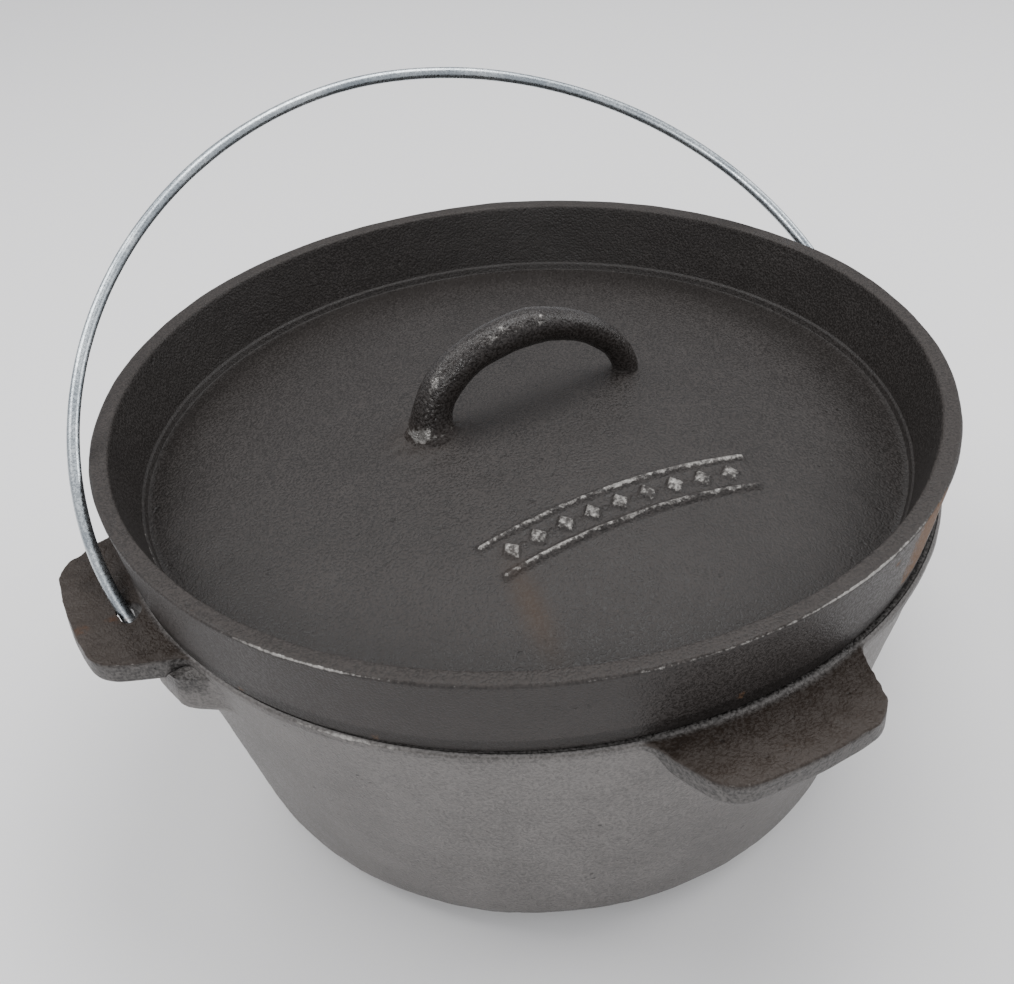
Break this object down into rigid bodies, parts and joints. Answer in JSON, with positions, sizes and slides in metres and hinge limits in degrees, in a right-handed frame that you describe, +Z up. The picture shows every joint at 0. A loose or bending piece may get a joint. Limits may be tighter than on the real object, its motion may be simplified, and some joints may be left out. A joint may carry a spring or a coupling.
{
  "type": "dutch oven",
  "caption": "Round cast iron dutch oven: tapered pot with flat lugs, rimmed tray lid with an arched handle, and a swinging wire bail.",
  "frame": {"origin": "middle of the pot's flat base, on the surface that it stands on", "axes": "+Z up; +X along the bail's hinge line, through the holes of the two ears; -Y towards the front tab; the bail leans back towards +Y at rest"},
  "size_m": [0.3434, 0.3434, 0.2267],
  "materials": {
    "cast_iron": "seasoned black, satin, fine sand-cast grain",
    "zinc_wire": "zinc plated, dull bright"
  },
  "bodies": {
    "pot": {"pot": "cast_iron"},
    "lid": {"lid": "cast_iron"},
    "bail": {"bail": "zinc_wire"}
  },
  "joints": [
    {"name": "bail_swing", "type": "hinge", "parent": "pot", "child": "bail", "pos_m": [0, 0, 0.1176], "axis": [1, 0, 0], "range_deg": [0, 100]},
    {"name": "lid_lift", "type": "slide", "parent": "pot", "child": "lid", "axis": [0, -0.5, 0.866], "range_m": [0, 0.2]}
  ]
}
